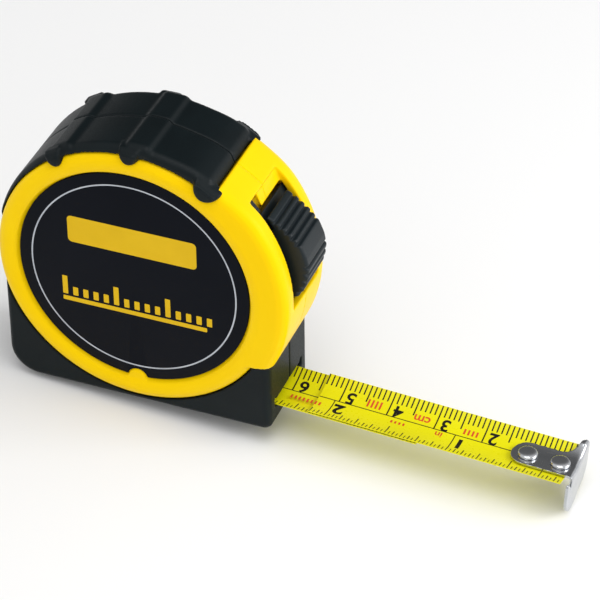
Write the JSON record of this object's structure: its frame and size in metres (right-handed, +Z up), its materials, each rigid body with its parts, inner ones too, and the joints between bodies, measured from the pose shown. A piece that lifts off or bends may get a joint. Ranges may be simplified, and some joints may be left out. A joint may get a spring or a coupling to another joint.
{
  "type": "tape measure",
  "caption": "Pocket tape measure: yellow two-half case with black soft overmould, sliding lock, concave yellow steel blade and riveted end hook.",
  "frame": {"origin": "middle of the flat of the base, under the drum's axis", "axes": "+X the way the blade comes out, -Y the front face, +Z up from the base"},
  "size_m": [0.1179, 0.027, 0.0696],
  "materials": {
    "case_yellow": "smooth moulded plastic",
    "grip_black": "soft satin overmould",
    "label_black": "satin printed film",
    "lock_black": "satin moulded plastic",
    "brake_rubber": "matte",
    "blade_yellow": "lacquered, printed scales",
    "bright_steel": "bright plated",
    "spring_steel": "dark",
    "drum_white": "moulded"
  },
  "bodies": {
    "case": {"front_shell": "case_yellow", "rear_shell": "case_yellow", "front_grip": "grip_black", "rear_grip": "grip_black", "front_label": "label_black", "rear_label": "label_black", "case_screw_1": "spring_steel", "case_screw_2": "spring_steel", "case_screw_3": "spring_steel", "centre_spindle": "bright_steel", "belt_clip": "bright_steel", "belt_clip_screw": "spring_steel"},
    "blade": {"blade_strip": "blade_yellow", "hook_rivet_1": "bright_steel", "hook_rivet_2": "bright_steel"},
    "hook": {"end_hook": "bright_steel"},
    "inner_blade": {"blade_inner_strip": "blade_yellow"},
    "spool": {"spool_drum": "drum_white", "spool_cover": "drum_white", "blade_coil": "blade_yellow", "power_spring": "spring_steel"},
    "lock": {"lock_button": "lock_black", "brake_pad": "brake_rubber"}
  },
  "joints": [
    {"name": "blade_slide", "type": "slide", "parent": "case", "child": "blade", "axis": [0.9985, 0, -0.055], "range_m": [-0.0585, 0.042]},
    {"name": "inner_slide", "type": "slide", "parent": "case", "child": "inner_blade", "axis": [0.9985, 0, -0.055], "range_m": [-0.0295, 0.021]},
    {"name": "spool_spin", "type": "hinge", "parent": "case", "child": "spool", "pos_m": [0, 0, 0.0305], "axis": [0, -1, 0], "range_deg": [-148, 107]},
    {"name": "hook_float", "type": "slide", "parent": "blade", "child": "hook", "axis": [0.9985, 0, -0.055], "range_m": [-0.0008, 0]},
    {"name": "lock_slide", "type": "hinge", "parent": "case", "child": "lock", "pos_m": [0, 0, 0.0305], "axis": [0, -1, 0], "range_deg": [0, 8]}
  ],
  "couplings": [
    {"joint": "spool_spin", "follows": "blade_slide", "rad_per_m": 43.668},
    {"joint": "inner_slide", "follows": "blade_slide", "ratio": 0.5}
  ]
}
